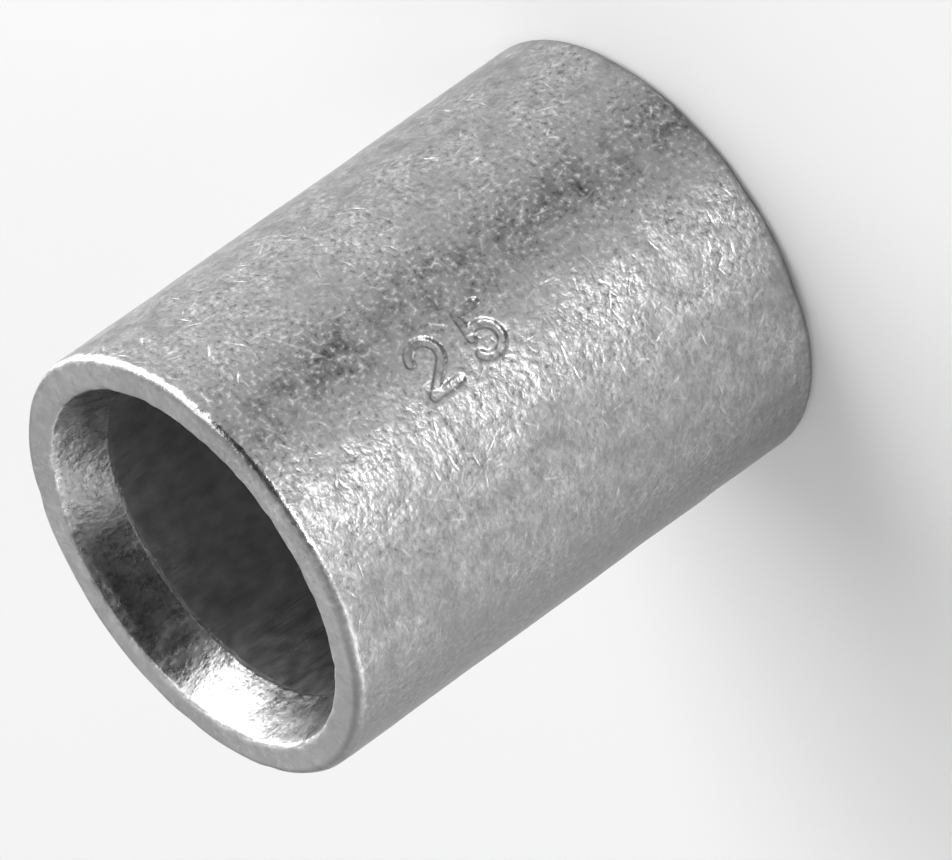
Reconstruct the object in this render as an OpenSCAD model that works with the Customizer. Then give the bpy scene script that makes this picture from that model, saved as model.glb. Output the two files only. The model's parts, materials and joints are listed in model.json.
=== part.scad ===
// Uninsulated crimp sleeve for splicing two stripped conductors.
// It stands on one end, with its axis along +Z and its origin at the middle of the lower end face.

/* [Tube] */
// Overall length of the sleeve
sleeve_length = 13; // [6:0.1:40]
// Diameter of the bore that takes the conductors
bore_d = 7.5; // [3:0.1:20]
// Wall of the tube outside the bore
wall = 1.25; // [1.05:0.05:4]

/* [Ends] */
// Depth of the flared lead-in at each end, along the axis
lead_in_depth = 1.25; // [0.4:0.05:2.5]
// Widening of the bore's radius from the throat of the lead-in to its mouth
lead_in_widening = 0.5; // [0.1:0.05:0.7]
// Radius of the tumbled outer edge at each end
outer_edge_radius = 0.25; // [0.05:0.05:0.5]
// Radius where the end face turns into the lead-in
mouth_edge_radius = 0.2; // [0.05:0.05:0.35]
// Radius where the lead-in turns into the bore
throat_edge_radius = 0.4; // [0.05:0.05:1]

/* [Hidden] */
$fn = 128;
bore_r = bore_d / 2;
outer_r = bore_r + wall;
mouth_r = bore_r + lead_in_widening;

// Corners of the lower end's section, as [radius, height]
throat_corner = [bore_r, lead_in_depth];
mouth_corner = [mouth_r, 0];
outer_corner = [outer_r, 0];

// Directions along the sides that meet at those corners
outward = [1, 0];
inward = [-1, 0];
upward = [0, 1];
into_throat = (throat_corner - mouth_corner) / norm(throat_corner - mouth_corner);
into_mouth = -into_throat;

// How far past an edge its waste reaches, as a share of the edge's radius
waste_reach = 0.5;
// How much wider than tangent an edge's arc is, so that it crosses both sides cleanly
arc_surplus = 0.001;

// The same corner at the upper end
function at_top(corner) = [corner.x, sleeve_length - corner.y];

// The waste outside an arc that rounds a corner between two sides, given as unit vectors
module corner_waste(corner, side_a, side_b, radius) {
    half_angle = acos(side_a * side_b) / 2;
    bisector = (side_a + side_b) / norm(side_a + side_b);
    centre = corner + bisector * radius / sin(half_angle);
    spokes = [for (side = [side_a, side_b]) corner + side * radius / tan(half_angle) - centre];
    past = 1 + waste_reach;
    difference() {
        polygon([
            centre,
            centre + past * spokes[0],
            centre + past * (corner - centre),
            centre + past * spokes[1]
        ]);
        translate(centre) circle(r = radius + arc_surplus);
    }
}

// What one end's edges lose to rounding, at the lower end
module end_waste() {
    corner_waste(outer_corner, inward, upward, outer_edge_radius);
    corner_waste(mouth_corner, outward, into_throat, mouth_edge_radius);
    corner_waste(throat_corner, upward, into_mouth, throat_edge_radius);
}

// Half of the tube's section, from the bore to the outside, with a lead-in at each end
module tube_section() {
    lower = [throat_corner, mouth_corner, outer_corner];
    polygon(concat(lower, [for (i = [len(lower) - 1:-1:0]) at_top(lower[i])]));
}

module sleeve() {
    color([0.66, 0.66, 0.66])
        rotate_extrude()
            difference() {
                tube_section();
                end_waste();
                translate([0, sleeve_length]) mirror([0, 1]) end_waste();
            }
}

sleeve();
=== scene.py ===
"""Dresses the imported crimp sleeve: a short tin-plated copper tube, tumbled, stood on its end.

The sleeve is one closed surface: the tube's section carried round its axis, pushed in by dents,
ripples and a stamped size number. The sleeve's lengths are in millimetres until its mesh is made,
and the studio's are in metres. Turns about the axis start at the side that faces the camera, -Y,
and grow towards +X.
"""

import json
import logging
import math
from dataclasses import dataclass
from enum import Enum
from typing import Any, Sequence

import bpy
import numpy as np
from mathutils import Matrix, Vector


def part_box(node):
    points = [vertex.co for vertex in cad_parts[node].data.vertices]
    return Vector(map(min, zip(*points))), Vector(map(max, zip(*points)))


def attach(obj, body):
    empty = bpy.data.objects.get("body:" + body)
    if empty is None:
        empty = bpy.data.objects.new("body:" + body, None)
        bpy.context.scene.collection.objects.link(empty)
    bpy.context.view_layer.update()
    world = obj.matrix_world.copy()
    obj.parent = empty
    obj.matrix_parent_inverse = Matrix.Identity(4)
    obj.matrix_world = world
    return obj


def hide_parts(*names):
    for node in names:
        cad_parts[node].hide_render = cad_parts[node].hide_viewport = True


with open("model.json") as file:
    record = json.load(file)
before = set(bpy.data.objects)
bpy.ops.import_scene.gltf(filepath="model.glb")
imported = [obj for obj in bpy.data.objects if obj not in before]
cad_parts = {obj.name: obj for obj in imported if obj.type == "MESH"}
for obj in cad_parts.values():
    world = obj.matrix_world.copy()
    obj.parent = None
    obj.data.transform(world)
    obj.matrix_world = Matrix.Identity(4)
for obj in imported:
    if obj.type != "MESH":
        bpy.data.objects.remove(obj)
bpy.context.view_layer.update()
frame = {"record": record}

log = logging.getLogger("sleeve")

METRES = 0.001
FULL_TURN = 2.0 * math.pi
MAP_NAME = "OFBake"
NOISE_MIDDLE = 0.5

Array = np.ndarray
Span = tuple[float, float]


class Digit(Enum):
    """The plain digits of the size number."""

    TWO = "2"
    FIVE = "5"


class Sock:
    """A shader socket that takes part in arithmetic. Each operation adds one node."""

    def __init__(self, bench: "Bench", socket: bpy.types.NodeSocket) -> None:
        """Keeps the socket and the bench that adds nodes for it."""
        self.bench = bench
        self.socket = socket

    def __add__(self, other: "Value") -> "Sock":
        """self + other."""
        return self.bench.math("ADD", self, other)

    __radd__ = __add__

    def __mul__(self, other: "Value") -> "Sock":
        """self * other."""
        return self.bench.math("MULTIPLY", self, other)

    __rmul__ = __mul__

    def __sub__(self, other: "Value") -> "Sock":
        """self - other."""
        return self.bench.math("SUBTRACT", self, other)

    def __rsub__(self, other: "Value") -> "Sock":
        """other - self."""
        return self.bench.math("SUBTRACT", other, self)

    def __truediv__(self, other: "Value") -> "Sock":
        """self / other."""
        return self.bench.math("DIVIDE", self, other)

    def at_least(self, floor: "Value") -> "Sock":
        """The larger of self and floor."""
        return self.bench.math("MAXIMUM", self, floor)

    def at_most(self, ceiling: "Value") -> "Sock":
        """The smaller of self and ceiling."""
        return self.bench.math("MINIMUM", self, ceiling)

    def ramp(self, start: float, end: float) -> "Sock":
        """0 before start, 1 past end, and smooth between."""
        return self.bench.sock(
            "ShaderNodeMapRange",
            "Result",
            {"interpolation_type": "SMOOTHSTEP"},
            {"Value": self, "From Min": start, "From Max": end},
        )


Value = float | Sock


class Bench:
    """The node tree of a material or of the world, with short ways to add nodes to it."""

    def __init__(self, owner: bpy.types.Material | bpy.types.World) -> None:
        """Empties the owner's node tree.

        Args:
            owner: the material or the world that the nodes belong to.
        """
        self.owner = owner
        owner.use_nodes = True
        self.tree = owner.node_tree
        self.tree.nodes.clear()

    def node(
        self, kind: str, settings: dict[str, Any] | None = None, sockets: dict[Any, Any] | None = None
    ) -> bpy.types.Node:
        """Adds one node.

        Args:
            kind: the node's type.
            settings: its properties, set before the sockets.
            sockets: values or links for its inputs, by name or number.

        Returns:
            The new node.
        """
        made = self.tree.nodes.new(kind)
        for name, value in (settings or {}).items():
            setattr(made, name, value)
        for name, value in (sockets or {}).items():
            if isinstance(value, Sock):
                self.tree.links.new(value.socket, made.inputs[name])
            else:
                made.inputs[name].default_value = value
        return made

    def sock(
        self,
        kind: str,
        output: str | int,
        settings: dict[str, Any] | None = None,
        sockets: dict[Any, Any] | None = None,
    ) -> Sock:
        """Adds one node and returns one of its outputs."""
        return Sock(self, self.node(kind, settings, sockets).outputs[output])

    def math(self, operation: str, *values: Value) -> Sock:
        """Adds a Math node over the values."""
        return self.sock("ShaderNodeMath", 0, {"operation": operation}, dict(enumerate(values)))

    def vector(self, operation: str, *values: Any) -> Sock:
        """Adds a Vector Math node over the vectors and returns its vector."""
        inputs = dict(enumerate(values))
        return self.sock("ShaderNodeVectorMath", "Vector", {"operation": operation}, inputs)

    def scaled(self, vector: Any, factor: Value) -> Sock:
        """The vector times a number."""
        inputs = {"Vector": vector, "Scale": factor}
        return self.sock("ShaderNodeVectorMath", "Vector", {"operation": "SCALE"}, inputs)

    def dot(self, first: Sock, second: Any) -> Sock:
        """The dot product of two vectors."""
        inputs = {0: first, 1: second}
        return self.sock("ShaderNodeVectorMath", "Value", {"operation": "DOT_PRODUCT"}, inputs)

    def amount(self, name: str) -> Sock:
        """One of the mesh's own amounts, stored at its points."""
        settings = {"attribute_type": "GEOMETRY", "attribute_name": name}
        return self.sock("ShaderNodeAttribute", "Fac", settings)

    def grey(self, level: Sock) -> Sock:
        """A neutral colour of that level."""
        return self.sock("ShaderNodeCombineColor", "Color", None, {0: level, 1: level, 2: level})


@dataclass(frozen=True)
class Speckle:
    """One layer of smooth noise on the unrolled sleeve.

    It has so many lumps to the millimetre, and its detail is how many finer layers it has.
    """

    per_mm: float
    detail: float

    def at(self, bench: Bench, place: Sock) -> Sock:
        """The noise at a place in millimetres, from 0 to 1."""
        inputs = {"Vector": place, "Scale": self.per_mm, "Detail": self.detail}
        return bench.sock("ShaderNodeTexNoise", "Fac", {"noise_dimensions": "2D"}, inputs)


@dataclass(frozen=True)
class Scratches:
    """One size of short blunt scratch, scattered at random in all directions.

    A scratch's own random level says how deep it is: nothing at the start of the span named shown,
    and full at its end.
    """

    per_mm: float
    length: float
    width: float
    offset: tuple[float, float, float]
    shown: Span

    def at(self, bench: Bench, place: Sock) -> Sock:
        """How deep each point lies in a scratch.

        Each cell of a Voronoi pattern holds one scratch through its centre, turned by the cell's
        random colour. The depth is one minus the squared distance along the scratch, times the
        square of one minus the squared distance across it, times the scratch's own level.
        Distances count in shares of the scratch's length and width.

        Args:
            bench: the material's nodes.
            place: the point on the unrolled sleeve, in millimetres.

        Returns:
            The depth from 0 to 1.
        """
        moved = bench.vector("ADD", place, self.offset)
        cell = bench.node(
            "ShaderNodeTexVoronoi",
            {"voronoi_dimensions": "2D", "feature": "F1"},
            {"Vector": moved, "Scale": self.per_mm, "Randomness": 1.0},
        )
        chance = bench.node("ShaderNodeSeparateColor", None, {0: Sock(bench, cell.outputs["Color"])})
        from_middle = bench.vector("SUBTRACT", moved, Sock(bench, cell.outputs["Position"]))
        turned = bench.sock(
            "ShaderNodeVectorRotate",
            "Vector",
            {"rotation_type": "Z_AXIS"},
            {"Vector": from_middle, "Angle": Sock(bench, chance.outputs[0]) * FULL_TURN},
        )
        ways = bench.node("ShaderNodeSeparateXYZ", None, {0: turned})
        run = Sock(bench, ways.outputs["X"]) / self.length
        gap = Sock(bench, ways.outputs["Y"]) / self.width
        along = (1.0 - run * run).at_least(0.0)
        across = (1.0 - gap * gap).at_least(0.0)
        level = Sock(bench, chance.outputs[1])
        return along * across * across * level.ramp(*self.shown)


@dataclass(frozen=True)
class Patterns:
    """What the finish reads at a point: the mesh's own amounts, and the patterns laid over them."""

    tumbled: Sock
    drawn: Sock
    ends: Sock
    burnished: Sock
    dulled: Sock
    scuffed: Sock
    stamped: Sock
    swaged: Sock
    worn: Sock
    patches: Sock
    mottle: Sock
    grain: Sock
    draw_lines: Sock
    light_flecks: Sock
    dark_flecks: Sock
    coarse: Sock
    long: Sock


@dataclass(frozen=True)
class PlateWear:
    """The patterns that drawing, swaging and tumbling leave on the plate."""

    patches: Speckle = Speckle(0.7, 2.0)
    mottle: Speckle = Speckle(2.4, 3.0)
    grain: Speckle = Speckle(8.0, 3.0)
    draw_lines: Speckle = Speckle(7.0, 2.0)
    draw_stretch: float = 20.0
    coarse: Scratches = Scratches(2.0, 0.21, 0.042, (3.1, 7.7, 0.0), (0.20, 0.90))
    long: Scratches = Scratches(0.42, 0.90, 0.035, (5.3, 1.7, 0.0), (0.55, 0.90))
    scratch_bend: float = 0.12
    bend_way: tuple[float, float, float] = (0.7, 1.0, 0.0)
    swage_fray: float = 0.9
    swage_edge: Span = (0.30, 0.75)
    least_worn: float = 0.5
    worn_patches: Span = (0.36, 0.58)
    light_grain: Span = (0.52, 0.80)
    dark_grain: Span = (0.46, 0.22)

    def patterns(self, bench: Bench, unrolled: Span) -> Patterns:
        """Adds the patterns' nodes.

        Args:
            bench: the material's nodes.
            unrolled: the size of the whole map, round the barrel and along the section.

        Returns:
            The amounts and patterns, each as one socket.
        """
        flat = bench.sock("ShaderNodeUVMap", "UV", {"uv_map": MAP_NAME})
        place = bench.vector("MULTIPLY", flat, (*unrolled, 0.0))
        patches = self.patches.at(bench, place)
        mottle = self.mottle.at(bench, place)
        grain = self.grain.at(bench, place)
        lengthwise = bench.vector("MULTIPLY", place, (1.0, 1.0 / self.draw_stretch, 1.0))
        bent = bench.vector("ADD", place, bench.scaled(self.bend_way, mottle * self.scratch_bend))
        frayed = bench.amount("swaged") + (mottle - NOISE_MIDDLE) * self.swage_fray
        scuffed = bench.amount("scuffed")
        patchy = self.least_worn + (1.0 - self.least_worn) * patches.ramp(*self.worn_patches)
        return Patterns(
            tumbled=bench.amount("tumbled"),
            drawn=bench.amount("drawn"),
            ends=bench.amount("ends"),
            burnished=bench.amount("burnished"),
            dulled=bench.amount("dulled"),
            scuffed=scuffed,
            stamped=bench.amount("stamped"),
            swaged=frayed.ramp(*self.swage_edge),
            worn=scuffed * patchy,
            patches=patches,
            mottle=mottle,
            grain=grain,
            draw_lines=self.draw_lines.at(bench, lengthwise),
            light_flecks=grain.ramp(*self.light_grain),
            dark_flecks=grain.ramp(*self.dark_grain),
            coarse=self.coarse.at(bench, bent),
            long=self.long.at(bench, bent),
        )


@dataclass(frozen=True)
class PlateRelief:
    """How far each pattern stands up from the plate, or is cut into it, in millimetres."""

    worn_grain: float = 0.0145
    scratch: float = 0.010
    tumbled_mottle: float = 0.028
    plain_grain: float = 0.003
    ends_grain: float = 0.008
    swaged_mottle: float = 0.007
    swaged_grain: float = 0.0025
    draw_line: float = 0.02

    def height(self, at: Patterns) -> Sock:
        """The patterns' heights added up, each where its own kind of wear is."""
        return (
            at.worn * (at.grain * self.worn_grain - at.coarse * self.scratch)
            + at.tumbled * at.mottle * self.tumbled_mottle
            + at.grain * (self.plain_grain + at.ends * self.ends_grain)
            + at.swaged * (at.mottle * self.swaged_mottle + at.grain * self.swaged_grain)
            + at.drawn * at.draw_lines * self.draw_line
        )


@dataclass(frozen=True)
class PlateTone:
    """How pale the plate is in each zone, and what wear makes of that."""

    outside: float = 0.355
    ends: float = 0.465
    lead_in: float = 0.40
    bore: float = 0.60
    blotch_base: float = 0.62
    blotch_mottle: float = 0.46
    blotch_patches: float = 0.30
    light_fleck: float = 0.7
    dark_fleck: float = 0.60
    swaged_flecks: float = 0.45
    dull_and_shade_mottle: float = 1.5
    dull_and_shade_patches: float = 0.9
    dull_and_shade_start: float = 0.85
    dull_and_shade_light_fleck: float = 0.42
    dull_and_shade_dark_fleck: float = 0.08
    outline_shade: float = 1.5
    edge_painted_shade: float = 0.32
    scratch_shine: float = 0.24
    long_share: float = 0.6

    def level(self, at: Patterns) -> Sock:
        """Works out the plate's tone.

        The zone's own tone is multiplied by the blotches, the flecks, the darkened streaks along the
        barrel, two of which are painted shade bands, the shade along the size number's outlines and
        the painted shade on edges that nothing rubs. The scratches then add their shine.

        Args:
            at: the amounts and patterns at the point.

        Returns:
            The tone, as a reflectance.
        """
        zone = (
            self.outside
            + (self.ends - self.outside) * at.ends
            + (self.lead_in - self.outside) * at.swaged
            + (self.bore - self.outside) * at.drawn
        )
        blotches = self.blotch_base + at.mottle * self.blotch_mottle + at.patches * self.blotch_patches
        contrast = at.light_flecks * self.light_fleck - at.dark_flecks * self.dark_fleck
        flecks = 1.0 + (at.worn + at.swaged * self.swaged_flecks) * contrast
        # Painted shade: the streaks at 20.5 and -72 degrees darken the barrel in bands where its reflection
        # should be darker; the two towards the back darken the plate in streaks.
        dullness_and_shade = at.mottle * self.dull_and_shade_mottle + at.patches * self.dull_and_shade_patches - self.dull_and_shade_start
        dull_and_shade_flecks = at.light_flecks * self.dull_and_shade_light_fleck - at.dark_flecks * self.dull_and_shade_dark_fleck
        dulling_and_shade = 1.0 - at.dulled * (dullness_and_shade.at_least(0.0) - dull_and_shade_flecks)
        outlines = 1.0 - at.stamped * (1.0 - at.stamped) * self.outline_shade
        # Painted shade: edges away from the rubbed places are darkened, which dims the bright lines that the
        # lamps draw along them.
        unrubbed_and_shaded = 1.0 + at.burnished.at_most(0.0) * self.edge_painted_shade
        scratches = at.worn * at.coarse + at.scuffed * at.long * self.long_share
        return zone * blotches * flecks * dulling_and_shade * outlines * unrubbed_and_shaded + scratches * self.scratch_shine


@dataclass(frozen=True)
class PlateGloss:
    """How rough the plate is, and what changes that."""

    base: float = 0.385
    mottle: float = 0.20
    ends: float = 0.12
    swaged: float = 0.10
    burnished: float = 0.14

    def roughness(self, at: Patterns) -> Sock:
        """The roughness: more on the cut ends, less where the plate is swaged or burnished."""
        uneven = self.base + (at.mottle - NOISE_MIDDLE) * self.mottle
        return uneven + at.ends * self.ends - at.swaged * self.swaged - at.burnished * self.burnished


@dataclass(frozen=True)
class TinPlate:
    """Matt tin plate on copper: tumbled outside, swaged in the lead-ins and drawn in the bore."""

    wear: PlateWear = PlateWear()
    relief: PlateRelief = PlateRelief()
    tone: PlateTone = PlateTone()
    gloss: PlateGloss = PlateGloss()
    edge_tint: float = 0.7

    def material(self, unrolled: Span) -> bpy.types.Material:
        """Builds the finish.

        Args:
            unrolled: the size of the whole map, round the barrel and along the section.

        Returns:
            The material.
        """
        bench = Bench(bpy.data.materials.new("tin_plate"))
        at = self.wear.patterns(bench, unrolled)
        heights = {"Strength": 1.0, "Distance": METRES, "Height": self.relief.height(at)}
        plate = bench.sock(
            "ShaderNodeBsdfPrincipled",
            "BSDF",
            None,
            {
                "Base Color": bench.grey(self.tone.level(at)),
                "Metallic": 1.0,
                "Roughness": self.gloss.roughness(at),
                "Specular Tint": (self.edge_tint,) * 3 + (1.0,),
                "Normal": bench.sock("ShaderNodeBump", "Normal", None, heights),
            },
        )
        bench.node("ShaderNodeOutputMaterial", None, {"Surface": plate})
        return bench.owner


@dataclass(frozen=True)
class Ripple:
    """Smooth random unevenness, made of plane waves.

    Its wavelength is divided, for each wave, by a factor from the span named shortening.
    """

    wavelength: float
    waves: int
    height: float
    shortening: Span = (0.7, 1.4)

    def at(self, points: Array, rng: np.random.Generator) -> Array:
        """The sum of plane waves in random directions, scaled to the height.

        Args:
            points: where it is read, with x, y and z in the last axis.
            rng: the source of chance.

        Returns:
            The unevenness at each point.
        """
        ways = rng.normal(size=(3, self.waves))
        steepness = rng.uniform(*self.shortening, self.waves) * FULL_TURN / self.wavelength
        ways *= steepness / np.linalg.norm(ways, axis=0)
        phases = rng.uniform(0.0, FULL_TURN, self.waves)
        return self.height * math.sqrt(2.0 / self.waves) * np.sin(points @ ways + phases).sum(axis=-1)


@dataclass(frozen=True)
class Knocks:
    """Small round dents from tumbling, all over the barrel and more closely along its outer edges."""

    on_barrel: int = 150
    on_edges: int = 60
    end_margin: float = 0.4
    edge_inset: float = 0.08
    sizes: Span = (0.10, 0.30)
    depth_shares: Span = (0.04, 0.08)

    def depth(self, points: Array, length: float, radius: float, rng: np.random.Generator) -> Array:
        """How deep the dents are: each is its depth times a bell curve of the distance to its centre.

        Args:
            points: where the depth is read, with x, y and z in the last axis.
            length: the sleeve's length.
            radius: the barrel's radius.
            rng: the source of chance.

        Returns:
            The depths added up.
        """
        count = self.on_barrel + self.on_edges
        turn = rng.uniform(-math.pi, math.pi, count)
        z = rng.uniform(self.end_margin, length - self.end_margin, count)
        at_foot = rng.random(self.on_edges) < 0.5
        z[self.on_barrel:] = np.where(at_foot, self.edge_inset, length - self.edge_inset)
        r = np.full_like(z, radius)
        r[self.on_barrel:] -= self.edge_inset
        centres = np.stack([r * np.sin(turn), -r * np.cos(turn), z], axis=1)
        sizes = rng.uniform(*self.sizes, count)
        depths = rng.uniform(*self.depth_shares, count) * sizes
        total = np.zeros(points.shape[:-1])
        for centre, size, depth in zip(centres, sizes, depths):
            away = ((points - centre) ** 2).sum(axis=-1)
            total += depth * np.exp(-away / (2.0 * size * size))
        return total


@dataclass(frozen=True)
class SizeMark:
    """A plain conductor size stamped into the barrel, read from the mouth towards the far end."""

    digits: tuple[Digit, ...] = (Digit.TWO, Digit.FIVE)
    middle_z: float = 7.65
    middle_turn_deg: float = 5.7
    height: float = 1.12
    width: float = 0.70
    pitch: float = 1.38
    stroke: float = 0.12
    depth: float = 0.055
    soft: float = 0.08
    fade: Ripple = Ripple(1.0, 24, 0.14)
    usual_share: float = 0.88
    least_share: float = 0.7

    @staticmethod
    def bar(x: Array, y: Array, start: Span, end: Span) -> Array:
        """Distance from each point to a straight stroke.

        Args:
            x: the points' places along the line of digits.
            y: their places up the digits.
            start: one end of the stroke.
            end: its other end.

        Returns:
            The distances.
        """
        start_at = np.array(start)
        run = np.array(end) - start_at
        share = ((x - start_at[0]) * run[0] + (y - start_at[1]) * run[1]) / (run @ run)
        share = np.clip(share, 0.0, 1.0)
        return np.hypot(x - start_at[0] - share * run[0], y - start_at[1] - share * run[1])

    @staticmethod
    def bow(x: Array, y: Array, centre: Span, radius: float, angles: Span) -> Array:
        """Distance from each point to a round stroke.

        Args:
            x: the points' places along the line of digits.
            y: their places up the digits.
            centre: the bow's centre.
            radius: its radius.
            angles: its first and last angle, in degrees, anticlockwise.

        Returns:
            The distances.
        """
        middle = math.radians(sum(angles) / 2)
        half = math.radians(angles[1] - angles[0]) / 2
        dx, dy = x - centre[0], y - centre[1]
        turn = np.arctan2(dy, dx) - middle
        turn = np.clip((turn + math.pi) % FULL_TURN - math.pi, -half, half) + middle
        return np.hypot(dx - radius * np.cos(turn), dy - radius * np.sin(turn))

    def digit(self, which: Digit, x: Array, y: Array) -> Array:
        """Distance to the middle line of one digit that stands on y = 0 and is centred on x = 0.

        Args:
            which: the digit.
            x: the points' places along the line of digits.
            y: their places up the digits.

        Returns:
            The distances to its nearest stroke.
        """
        half = self.width / 2
        top = self.height
        if which is Digit.TWO:
            hook = (0.0, top - half)
            hook_angles = (-40.0, 170.0)
            leave = math.radians(hook_angles[0])
            hook_end = (hook[0] + half * math.cos(leave), hook[1] + half * math.sin(leave))
            foot_start, foot_end = (-half, 0.0), (half, 0.0)
            strokes = [
                self.bow(x, y, hook, half, hook_angles),
                self.bar(x, y, hook_end, foot_start),
                self.bar(x, y, foot_start, foot_end),
            ]
        else:
            bowl = (-0.04 * half, half)
            bowl_angles = (-150.0, 125.0)
            shoulder = (-0.78 * half, 1.55 * half)
            flag_start, flag_end = (-0.62 * half, top), (0.86 * half, top)
            strokes = [
                self.bow(x, y, bowl, half, bowl_angles),
                self.bar(x, y, shoulder, flag_start),
                self.bar(x, y, flag_start, flag_end),
            ]
        return np.minimum.reduce(strokes)

    def reach(self) -> Span:
        """How far the mark runs from its middle, along the axis and round the barrel."""
        line = (self.pitch * (len(self.digits) - 1) + self.width + self.stroke) / 2
        return line + self.soft, (self.height + self.stroke) / 2 + self.soft

    def cut(self, z: Array, arc: Array) -> Array:
        """Depth of the stamped strokes.

        The depth is full inside half a stroke's width from a digit's middle line and eases to
        nothing over the soft edge.

        Args:
            z: heights on the barrel.
            arc: lengths round the barrel from the mark's middle line.

        Returns:
            Depths from 0 to the stamp's depth.
        """
        nearest = np.full(np.broadcast(z, arc).shape, np.inf)
        first = -(len(self.digits) - 1) / 2
        for place, which in enumerate(self.digits):
            x = self.middle_z - z - (first + place) * self.pitch
            nearest = np.minimum(nearest, self.digit(which, x, arc + self.height / 2))
        inside = np.clip((self.stroke / 2 + self.soft - nearest) / self.soft, 0.0, 1.0)
        return self.depth * inside * inside * (3.0 - 2.0 * inside)

    def left(self, points: Array, rng: np.random.Generator) -> Array:
        """The share of the stamp's depth that wear has left at each point."""
        return np.clip(self.usual_share + self.fade.at(points, rng), self.least_share, 1.0)


@dataclass(frozen=True)
class Streak:
    """A streak along the barrel: its middle and half width in degrees of turn, and its strength."""

    middle_deg: float
    half_deg: float
    strength: float

    def at(self, turns: Array) -> Array:
        """Its strength at each turn, a bell curve about its middle."""
        away = (turns - math.radians(self.middle_deg) + math.pi) % FULL_TURN - math.pi
        return self.strength * np.exp(-((away / math.radians(self.half_deg)) ** 2))


@dataclass(frozen=True)
class Section:
    """The tube's section as a closed loop of points, with the way that each one faces."""

    radius: Array
    height: Array
    facing: Array
    run: Array
    total: float

    def tilt_deg(self) -> Array:
        """How far each point faces away from straight out, from 0 on the barrel to 180 in the bore."""
        return 180.0 - np.abs(180.0 - np.degrees(self.facing) % 360.0)


@dataclass(frozen=True)
class Zones:
    """What each zone of the section has, by how far it faces away from straight out.

    The values are for straight out, the edge of the barrel, the cut end, the edge of the mouth,
    the lead-in and the bore. The rubbed edges and the limits of unevenness have tilts of their own.
    """

    tilts_deg: tuple[float, ...] = (0.0, 60.0, 90.0, 120.0)
    tumbled: tuple[float, ...] = (1.0, 0.5, 0.4, 0.3, 0.2, 0.0)
    swaged: tuple[float, ...] = (0.0, 0.0, 0.0, 0.2, 1.0, 0.0)
    drawn: tuple[float, ...] = (0.0, 0.0, 0.0, 0.0, 0.0, 1.0)
    ends: tuple[float, ...] = (0.0, 0.0, 1.0, 1.0, 0.0, 0.0)
    ragged: tuple[float, ...] = (0.0, 0.0, 0.2, 1.4, 0.35, 0.1)
    rubbed_tilts_deg: tuple[float, ...] = (0.0, 18.0, 60.0, 82.0)
    rubbed: tuple[float, ...] = (0.0, 1.0, 1.0, 0.0)
    limit_tilts_deg: tuple[float, ...] = (0.0, 120.0, 180.0)
    limits: tuple[float, ...] = (-0.006, 0.0, 0.01)

    def share(self, tilt_deg: Array, flare_deg: float, values: Sequence[float]) -> Array:
        """One kind of value at each tilt, for a lead-in that flares by that many degrees."""
        stops = (*self.tilts_deg, 180.0 - flare_deg, 180.0)
        return np.interp(tilt_deg, stops, values)


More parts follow.
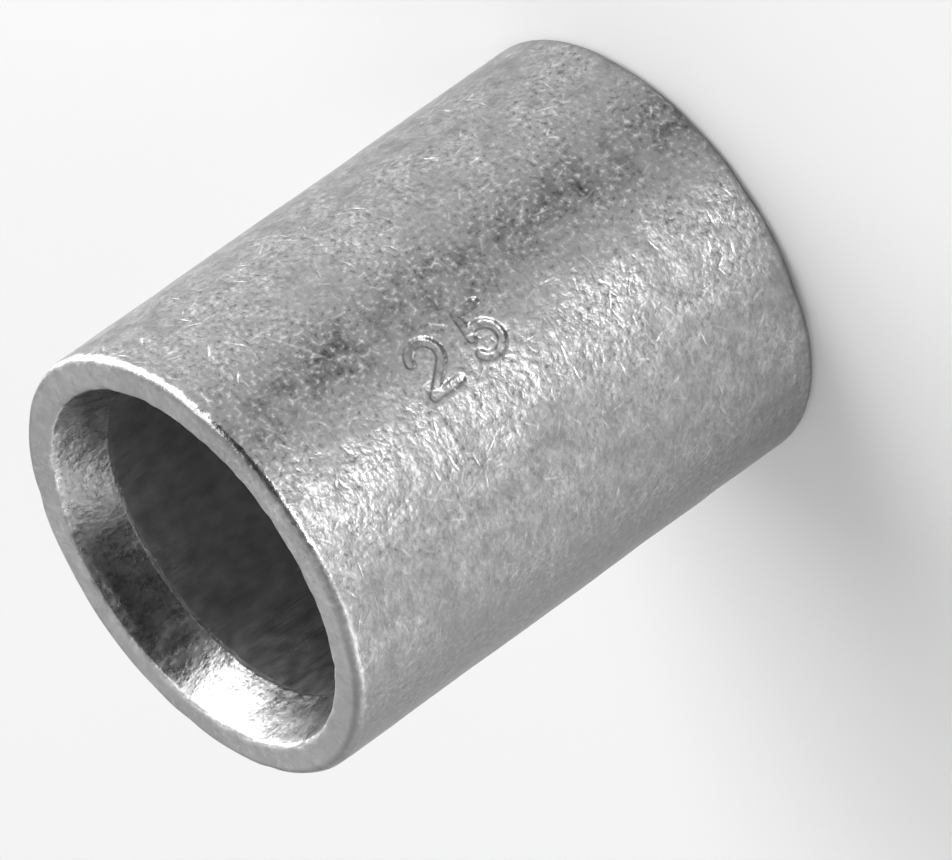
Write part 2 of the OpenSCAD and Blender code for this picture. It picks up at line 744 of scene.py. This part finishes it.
@dataclass
class Sleeve:
    """The one-piece crimp sleeve, as a surface over its section and the turn about its axis."""

    length: float
    outer_r: float
    bore_r: float
    lead_in_depth: float = 1.25
    lead_in_widening: float = 0.5
    throat_edge: float = 0.4
    mouth_edge: float = 0.2
    outer_edge: float = 0.25
    edge_points: tuple[int, int, int] = (6, 9, 12)
    lead_in_step: float = 0.11
    end_step: float = 0.09
    barrel_step: float = 0.115
    bore_step: float = 0.8
    mark_step: float = 0.034
    around: int = 372
    seed: int = 25
    sunk: float = 0.009
    waviness: Sequence[Ripple] = (Ripple(4.5, 24, 0.006), Ripple(1.3, 40, 0.0028))
    tears: Sequence[Ripple] = (Ripple(0.7, 60, 0.005), Ripple(0.33, 60, 0.003))
    knocks: Knocks = Knocks()
    zones: Zones = Zones()
    least_scuffed: float = 0.3
    unrubbed_and_shaded: float = 1.0
    # Streaks that darken the outside's tone. The ones at 20.5 and -72 degrees are painted shade: dark bands
    # along the barrel where its reflection should be darker.
    dull_and_shade_streaks: Sequence[Streak] = (
        Streak(20.5, 11.0, 0.95),
        Streak(-72.0, 20.0, 0.36),
        Streak(128.0, 14.0, 0.6),
        Streak(-150.0, 18.0, 0.5),
    )
    # Rubbed edges are glossier. Away from them the edges are rougher and get painted shade that darkens
    # them.
    rubbed_edges: Sequence[Streak] = (
        Streak(25.0, 50.0, 2.2),
        Streak(155.0, 40.0, 1.4),
        Streak(-110.0, 30.0, 1.3),
    )
    scuffed_sides: Sequence[Streak] = (
        Streak(40.0, 36.0, 0.6),
        Streak(-8.0, 20.0, 0.55),
        Streak(150.0, 40.0, 0.35),
        Streak(-125.0, 30.0, 0.3),
    )
    mark: SizeMark = SizeMark()
    finish: TinPlate = TinPlate()

    def barrel_heights(self, low: float, high: float) -> Array:
        """Heights up the barrel, close together across the size mark.

        Args:
            low: the barrel's lower end.
            high: its upper end.

        Returns:
            The heights in order, with both ends.
        """
        line, _ = self.mark.reach()
        stops = (low, self.mark.middle_z - line, self.mark.middle_z + line, high)
        steps = (self.barrel_step, self.mark_step, self.barrel_step)
        stretches = [
            np.linspace(start, end, max(2, round((end - start) / step) + 1))[:-1]
            for start, end, step in zip(stops[:-1], stops[1:], steps)
        ]
        return np.concatenate(stretches + [[high]])

    def section(self) -> Section:
        """Works out the section.

        Six corners, each rounded by a tangent arc, are joined by straight sides. The loop starts
        at the lower throat and goes down the lead-in, out along the end, up the barrel, in along
        the other end, down its lead-in and down the bore.

        Returns:
            The section's points in order.
        """
        mouth_r = self.bore_r + self.lead_in_widening
        deep = self.lead_in_depth
        top = self.length
        corners = np.array(
            [
                (self.bore_r, deep),
                (mouth_r, 0.0),
                (self.outer_r, 0.0),
                (self.outer_r, top),
                (mouth_r, top),
                (self.bore_r, top - deep),
            ]
        )
        radii = (self.throat_edge, self.mouth_edge, self.outer_edge)
        radii = radii + radii[::-1]
        arc_points = self.edge_points + self.edge_points[::-1]
        side_steps = (self.lead_in_step, self.end_step, self.barrel_step)
        side_steps = side_steps + (self.end_step, self.lead_in_step, self.bore_step)
        barrel_side = 2
        before = np.roll(corners, 1, axis=0)
        after = np.roll(corners, -1, axis=0)
        way_in = (corners - before) / np.linalg.norm(corners - before, axis=1)[:, None]
        way_out = (after - corners) / np.linalg.norm(after - corners, axis=1)[:, None]
        facing_in = np.arctan2(-way_in[:, 0], way_in[:, 1])
        facing_out = np.arctan2(-way_out[:, 0], way_out[:, 1])
        turn = (facing_out - facing_in) % FULL_TURN
        tangent = np.array(radii) * np.tan(turn / 2)

        points: list[Array] = []
        facings: list[Array] = []
        for i, (corner, edge, count) in enumerate(zip(corners, radii, arc_points)):
            angles = facing_in[i] + np.linspace(0.0, turn[i], count)
            start = corner - way_in[i] * tangent[i]
            centre = start - edge * np.array([np.cos(facing_in[i]), np.sin(facing_in[i])])
            points.append(centre + edge * np.stack([np.cos(angles), np.sin(angles)], axis=1))
            facings.append(angles)
            following = (i + 1) % len(corners)
            side_from = points[-1][-1]
            side_to = corners[following] - way_in[following] * tangent[following]
            if i == barrel_side:
                low, high = side_from[1], side_to[1]
                along = (self.barrel_heights(low, high) - low) / (high - low)
            else:
                span = float(np.linalg.norm(side_to - side_from))
                along = np.linspace(0.0, 1.0, max(2, round(span / side_steps[i]) + 1))
            along = along[1:-1]
            points.append(side_from + along[:, None] * (side_to - side_from))
            facings.append(np.full(len(along), angles[-1]))
        loop = np.concatenate(points)
        gaps = np.linalg.norm(np.roll(loop, -1, axis=0) - loop, axis=1)
        run = np.concatenate([[0.0], np.cumsum(gaps)[:-1]])
        return Section(loop[:, 0], loop[:, 1], np.concatenate(facings), run, float(gaps.sum()))

    def turns(self) -> Array:
        """The turns about the axis, close together across the size mark, from the back and round.

        Returns:
            The turns in order, from minus half a turn.
        """
        _, up = self.mark.reach()
        middle = math.radians(self.mark.middle_turn_deg)
        half = up / self.outer_r
        across_mark = round(2 * up / self.mark_step)
        plain = self.around - across_mark
        before = round(plain * (middle - half + math.pi) / (FULL_TURN - 2 * half))
        return np.concatenate(
            [
                np.linspace(-math.pi, middle - half, before, endpoint=False),
                np.linspace(middle - half, middle + half, across_mark, endpoint=False),
                np.linspace(middle + half, math.pi, plain - before, endpoint=False),
            ]
        )

    def zone(self, section: Section, values: Sequence[float]) -> Array:
        """One of the zones' kinds of value at each point of the section."""
        flare_deg = math.degrees(math.atan2(self.lead_in_widening, self.lead_in_depth))
        return self.zones.share(section.tilt_deg(), flare_deg, values)

    def unevenness(self, section: Section, smooth: Array, rng: np.random.Generator) -> Array:
        """How far the surface stands out from the smooth sleeve.

        Waves, dents and tears are added up, sunk a little and kept under each zone's limit, so
        that the outside only ever goes inwards.

        Args:
            section: the section that is carried round.
            smooth: the smooth sleeve's points.
            rng: the source of chance.

        Returns:
            The distance along the normal at each point.
        """
        waves = sum(ripple.at(smooth, rng) for ripple in self.waviness)
        torn = sum(ripple.at(smooth, rng) for ripple in self.tears)
        ragged = self.zone(section, self.zones.ragged)[:, None]
        uneven = waves - self.knocks.depth(smooth, self.length, self.outer_r, rng) + ragged * torn
        limit = np.interp(section.tilt_deg(), self.zones.limit_tilts_deg, self.zones.limits)
        return np.minimum(uneven - self.sunk, limit[:, None])

    def stamping(
        self, section: Section, turns: Array, smooth: Array, rng: np.random.Generator
    ) -> Array:
        """How deep the size mark is stamped.

        Args:
            section: the section that is carried round.
            turns: the turns it is carried to.
            smooth: the smooth sleeve's points.
            rng: the source of chance.

        Returns:
            The depth at each point.
        """
        arc = self.outer_r * (turns - math.radians(self.mark.middle_turn_deg))
        on_barrel = np.isclose(section.facing, 0.0)[:, None]
        return self.mark.cut(section.height[:, None], arc[None, :]) * on_barrel * self.mark.left(smooth, rng)

    def amounts(self, section: Section, turns: Array) -> dict[str, Array]:
        """What each point has of each kind of wear, and of the painted shade along the barrel and on its
        edges.

        Args:
            section: the section that is carried round.
            turns: the turns it is carried to.

        Returns:
            The amounts by section point and by turn, by name.
        """
        zones = self.zones
        rubbed = np.interp(section.tilt_deg(), zones.rubbed_tilts_deg, zones.rubbed)
        tumbled = self.zone(section, zones.tumbled)
        everywhere = np.ones_like(turns)
        dull_and_shade = sum(streak.at(turns) for streak in self.dull_and_shade_streaks)
        # Below zero on edges that nothing rubs: rougher there, with painted shade.
        rubbing = sum(streak.at(turns) for streak in self.rubbed_edges) - self.unrubbed_and_shaded
        scuffs = sum(streak.at(turns) for streak in self.scuffed_sides) + self.least_scuffed
        return {
            "tumbled": np.outer(tumbled, everywhere),
            "swaged": np.outer(self.zone(section, zones.swaged), everywhere),
            "drawn": np.outer(self.zone(section, zones.drawn), everywhere),
            "ends": np.outer(self.zone(section, zones.ends), everywhere),
            "burnished": np.outer(rubbed, rubbing),
            "dulled": np.outer(tumbled, dull_and_shade),
            "scuffed": np.outer(tumbled, scuffs),
        }

    def build(self) -> bpy.types.Object:
        """Makes the sleeve.

        A point of the surface is the section's point, carried round the axis by its turn and
        pushed along its normal by the unevenness less the stamped depth.

        Returns:
            The finished object.
        """
        rng = np.random.default_rng(self.seed)
        section = self.section()
        turns = self.turns()
        out = np.stack([np.sin(turns), -np.cos(turns), np.zeros_like(turns)], axis=1)
        up = np.array([0.0, 0.0, 1.0])
        smooth = section.radius[:, None, None] * out + section.height[:, None, None] * up
        normals = np.cos(section.facing)[:, None, None] * out + np.sin(section.facing)[:, None, None] * up
        uneven = self.unevenness(section, smooth, rng)
        stamped = self.stamping(section, turns, smooth, rng)
        points = smooth + (uneven - stamped)[..., None] * normals
        amounts = self.amounts(section, turns) | {"stamped": stamped / self.mark.depth}
        piece = self.mesh(points * METRES, section, turns, amounts)
        piece.data.materials.append(self.finish.material((FULL_TURN * self.outer_r, section.total)))
        return piece

    @staticmethod
    def mesh(
        points: Array, section: Section, turns: Array, amounts: dict[str, Array]
    ) -> bpy.types.Object:
        """Puts the grid of points into a closed mesh of quads.

        Args:
            points: places in metres, by section point and by turn.
            section: the section that was carried round.
            turns: the turns it was carried to.
            amounts: what each point has of each kind of wear and of painted shade, by name.

        Returns:
            The object.
        """
        rows, columns = points.shape[:2]
        row, column = np.meshgrid(np.arange(rows), np.arange(columns), indexing="ij")
        next_row, next_column = (row + 1) % rows, (column + 1) % columns
        corner_rows = np.stack([row, row, next_row, next_row], axis=-1)
        corner_columns = np.stack([column, next_column, next_column, column], axis=-1)
        quads = (corner_rows * columns + corner_columns).reshape(-1, 4)

        data = bpy.data.meshes.new("sleeve_skin")
        data.from_pydata(points.reshape(-1, 3).tolist(), [], quads.tolist())
        across = np.append((turns + math.pi) / FULL_TURN, 1.0)
        along = np.append(section.run / section.total, 1.0)
        u = across[np.stack([column, column + 1, column + 1, column], axis=-1)]
        v = along[np.stack([row, row, row + 1, row + 1], axis=-1)]
        layer = data.uv_layers.new(name=MAP_NAME)
        layer.uv.foreach_set("vector", np.stack([u, v], axis=-1).astype(np.float32).ravel())
        for name, amount in amounts.items():
            store = data.attributes.new(name, "FLOAT", "POINT")
            store.data.foreach_set("value", amount.astype(np.float32).ravel())
        data.polygons.foreach_set("use_smooth", np.ones(len(quads), dtype=bool))
        data.update()
        piece = bpy.data.objects.new("sleeve_skin", data)
        bpy.context.scene.collection.objects.link(piece)
        return piece


@dataclass(frozen=True)
class Softbox:
    """A rectangular studio lamp that faces the sleeve.

    It hangs at a turn and a height in degrees, and at a distance. Its brightness is what each part
    of its face gives off, so its power grows with its width and with how tall it is.
    """

    name: str
    turn_deg: float
    height_deg: float
    distance: float
    width: float
    tall: float
    brightness: float

    def place(self, target: Vector) -> None:
        """Hangs the lamp so that it faces the target.

        Args:
            target: where it points, in metres.
        """
        lamp = bpy.data.lights.new(self.name, "AREA")
        lamp.shape = "RECTANGLE"
        lamp.size = self.width
        lamp.size_y = self.tall
        lamp.energy = self.brightness * math.pi * self.width * self.tall
        turn, height = math.radians(self.turn_deg), math.radians(self.height_deg)
        level = math.cos(height)
        away = Vector((math.sin(turn) * level, -math.cos(turn) * level, math.sin(height)))
        holder = bpy.data.objects.new(self.name, lamp)
        holder.location = target + away * self.distance
        holder.rotation_mode = "QUATERNION"
        holder.rotation_quaternion = (-away).to_track_quat("-Z", "Y")
        holder.visible_camera = False
        bpy.context.scene.collection.objects.link(holder)


@dataclass(frozen=True)
class Studio:
    """The pale floor, the soft lamps and the room round them."""

    floor_half: float = 1.5
    floor_tone: float = 0.82
    room_front: float = 0.04
    room_back: float = 0.80
    front_to_back: Span = (-0.85, -0.02)
    horizon_share: float = 0.5
    horizon_band: Span = (0.0, 0.36)
    lamps: Sequence[Softbox] = (
        Softbox("front_key", 66.0, 42.0, 0.30, 0.14, 0.14, 2.6),
        Softbox("front_strip", -15.0, 1.2, 0.25, 0.05, 0.022, 134.0),
        Softbox("left_strip", -76.0, 1.2, 0.25, 0.22, 0.022, 17.4),
        Softbox("right_strip", 124.0, 1.2, 0.25, 0.20, 0.022, 29.0),
        Softbox("side_softbox", 97.0, 12.0, 0.30, 0.48, 0.19, 5.8),
        Softbox("left_card", -102.0, 9.0, 0.30, 0.46, 0.14, 0.92),
    )

    def floor(self) -> bpy.types.Object:
        """Makes the floor, a flat square of matt paper at the sleeve's foot.

        Returns:
            The floor.
        """
        half = self.floor_half
        corners = np.array([(-half, -half), (half, -half), (half, half), (-half, half)])
        points = np.column_stack([corners, np.zeros(4)])
        data = bpy.data.meshes.new("floor")
        data.from_pydata(points.tolist(), [], [(0, 1, 2, 3)])
        bench = Bench(bpy.data.materials.new("floor_paper"))
        tone = (self.floor_tone,) * 3 + (1.0,)
        paper = bench.sock("ShaderNodeBsdfDiffuse", "BSDF", None, {"Color": tone})
        bench.node("ShaderNodeOutputMaterial", None, {"Surface": paper})
        data.materials.append(bench.owner)
        floor = bpy.data.objects.new("floor", data)
        bpy.context.scene.collection.objects.link(floor)
        return floor

    def light(self, target: Vector) -> None:
        """Sets the room's own light and hangs the lamps round the target.

        The room is dark on the camera's side and grows paler towards the sides, the top and the
        back, by how far a direction points towards -Y. Near the horizon it is dimmer.

        Args:
            target: what the lamps face, in metres.
        """
        world = bpy.data.worlds.new("room")
        bench = Bench(world)
        way = bench.sock("ShaderNodeTexCoord", "Generated")
        behind = bench.dot(way, (0.0, 1.0, 0.0)).ramp(*self.front_to_back)
        high = bench.dot(way, (0.0, 0.0, 1.0)).ramp(*self.horizon_band)
        pale = behind * (self.horizon_share + (1.0 - self.horizon_share) * high)
        tone = self.room_front + (self.room_back - self.room_front) * pale
        glow = bench.sock("ShaderNodeBackground", "Background", None, {"Color": bench.grey(tone)})
        bench.node("ShaderNodeOutputWorld", None, {"Surface": glow})
        bpy.context.scene.world = world
        for lamp in self.lamps:
            lamp.place(target)


@dataclass(frozen=True)
class PhotoCamera:
    """The camera at the photograph's viewing angle, rolled as the photograph is.

    Its distance is in metres, and its shifts aside and below and its sensor are in millimetres.
    """

    frame_width_px: int = 952
    height_deg: float = 27.277
    roll_deg: float = -125.558
    distance: float = 0.27471
    px_per_mm: float = 48.675
    aside: float = 1.131
    below: float = 0.521
    sensor: float = 36.0
    nearest_share: float = 0.05
    farthest_share: float = 50.0

    def place(self, middle: Vector) -> None:
        """Makes the camera the scene's own.

        Args:
            middle: the middle of the sleeve, in metres.
        """
        height, roll = math.radians(self.height_deg), math.radians(self.roll_deg)
        back = Vector((0.0, -math.cos(height), math.sin(height)))
        level_up = Vector((0.0, math.sin(height), math.cos(height)))
        level_right = level_up.cross(back)
        right = level_right * math.cos(roll) + level_up * math.sin(roll)
        up = level_up * math.cos(roll) - level_right * math.sin(roll)
        data = bpy.data.cameras.new("photo_camera")
        focal_px = self.px_per_mm * self.distance / METRES
        data.sensor_width = self.sensor
        data.lens = focal_px / self.frame_width_px * self.sensor
        data.clip_start = self.distance * self.nearest_share
        data.clip_end = self.distance * self.farthest_share
        camera = bpy.data.objects.new("photo_camera", data)
        shifted = middle + (right * self.aside - up * self.below) * METRES + back * self.distance
        axes = Matrix((right, up, back)).transposed().to_4x4()
        camera.matrix_world = Matrix.Translation(shifted) @ axes
        bpy.context.scene.collection.objects.link(camera)
        bpy.context.scene.camera = camera


def mount(name: str) -> dict[str, Any]:
    """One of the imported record's mounts, by name."""
    return next(item for item in frame["record"]["mounts"] if item["name"] == name)


def main() -> None:
    """Builds the sleeve, the studio and the camera."""
    logging.basicConfig(level=logging.INFO)
    bpy.context.scene.view_settings.view_transform = "Standard"
    low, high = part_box("sleeve")
    middle = (low + high) / 2
    sleeve = Sleeve(
        length=(high.z - low.z) / METRES,
        outer_r=mount("barrel")["dims"]["r_mm"],
        bore_r=mount("conductor_bore")["dims"]["r_mm"],
    )
    skin = sleeve.build()
    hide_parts("sleeve")
    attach(skin, "root")
    log.info("%s: %d quads", skin.name, len(skin.data.polygons))

    studio = Studio()
    studio.floor()
    studio.light(middle)
    PhotoCamera().place(middle)
    log.info("studio and camera placed")


if __name__ == "__main__":
    main()
